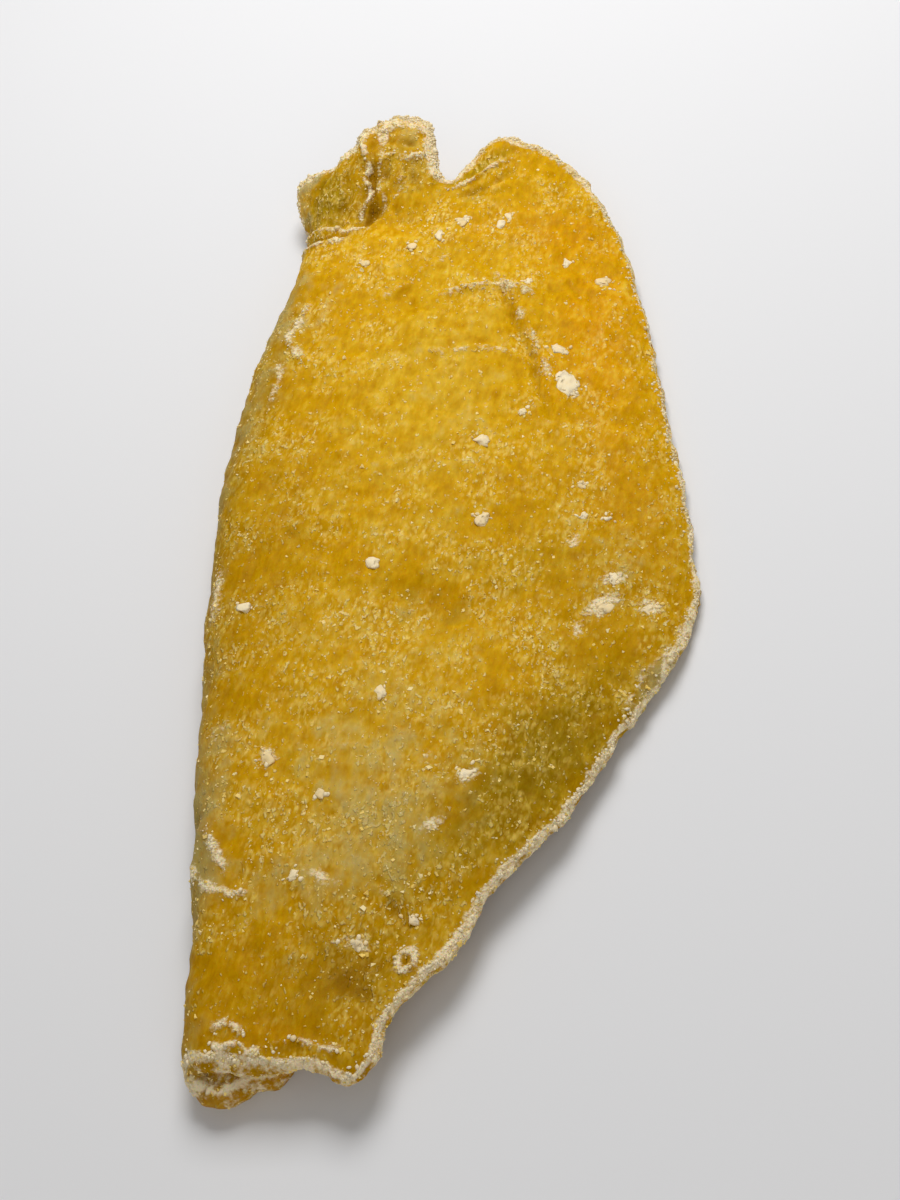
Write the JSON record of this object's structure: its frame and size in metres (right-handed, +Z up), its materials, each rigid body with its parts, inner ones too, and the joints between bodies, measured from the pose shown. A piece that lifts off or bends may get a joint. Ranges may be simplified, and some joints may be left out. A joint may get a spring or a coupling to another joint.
{
  "type": "dried mango slice",
  "caption": "Thin leathery slice of dried mango: arched, one long side folded under, a pleated and notched head, a pointed right side and a dusting of sugar.",
  "frame": {"origin": "middle of the slice's footprint, on the ground that it rests on", "axes": "+Y runs along the slice from its cut foot to its pleated head, +X points from the folded side to the pointed side, and +Z points up from the ground"},
  "size_m": [0.0602, 0.1326, 0.0099],
  "materials": {
    "mango_flesh": "matt golden yellow, slightly translucent, dusted with sugar, with a pale sugar-crusted rim"
  },
  "bodies": {
    "root": {"mango_slice": "mango_flesh"}
  },
  "joints": []
}
